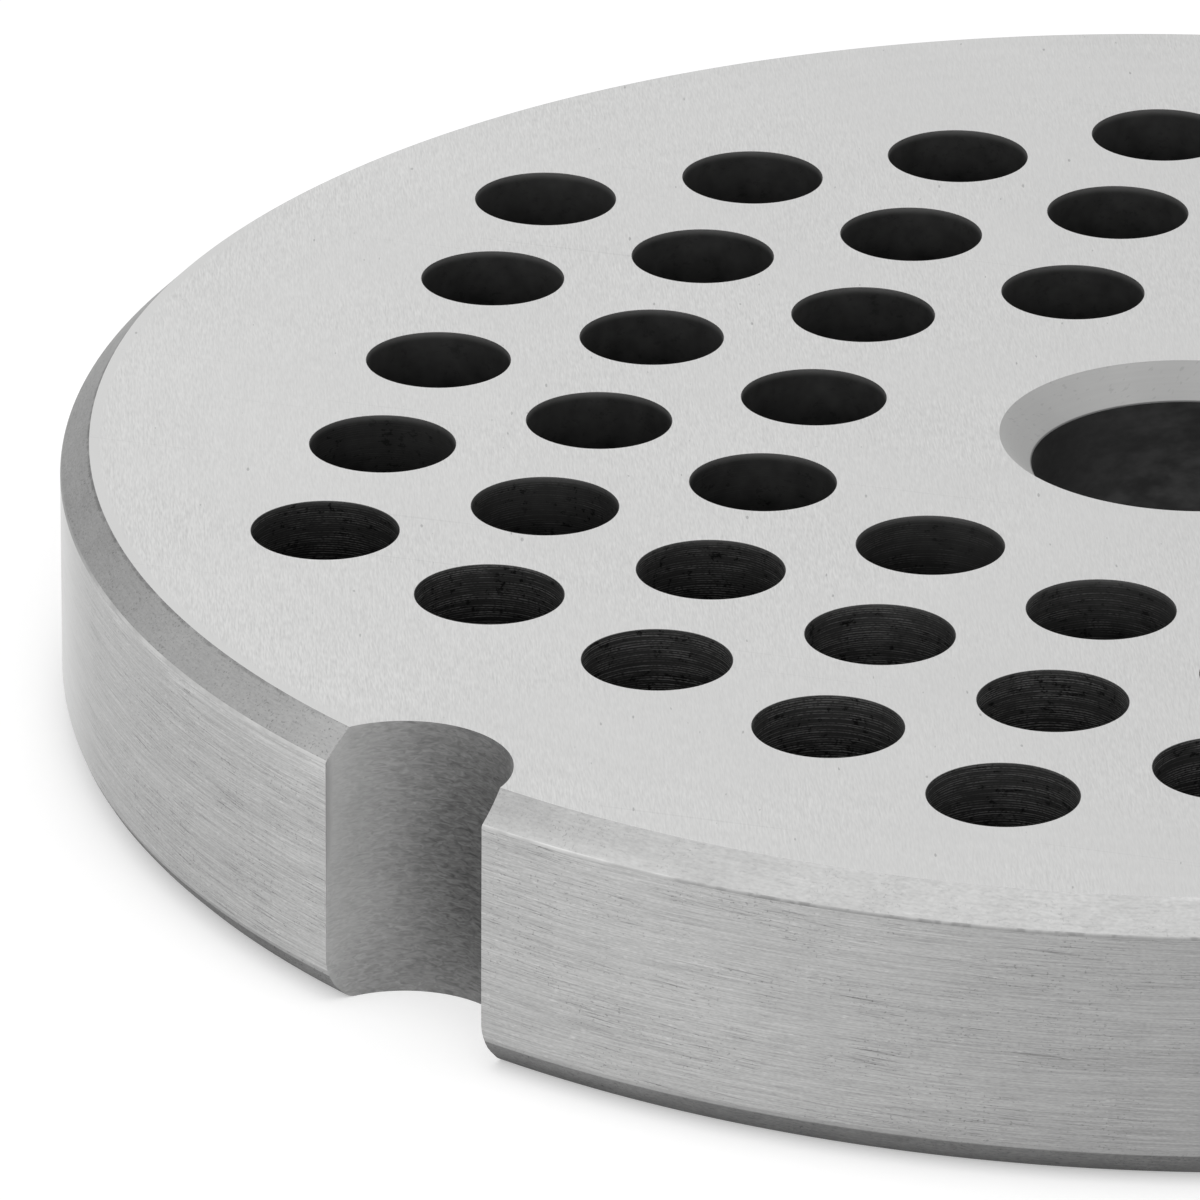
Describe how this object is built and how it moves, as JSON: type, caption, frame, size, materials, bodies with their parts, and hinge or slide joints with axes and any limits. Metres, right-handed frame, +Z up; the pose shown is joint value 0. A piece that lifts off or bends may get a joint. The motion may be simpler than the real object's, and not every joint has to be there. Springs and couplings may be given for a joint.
{
  "type": "meat grinder plate",
  "caption": "Round steel mincing plate with a hexagonal field of holes, a countersunk centre bore and a half-round locating notch in the rim.",
  "frame": {"origin": "middle of the lower face, on the axis of the centre bore", "axes": "+Z up along the bore axis, out of the upper face; rows of holes run along X; the notch opens towards -Y"},
  "size_m": [0.07, 0.0699, 0.0088],
  "materials": {
    "steel": "ground satin faces, turned rim, dark drilled hole walls"
  },
  "bodies": {
    "root": {"grinder_plate": "steel"}
  },
  "joints": []
}
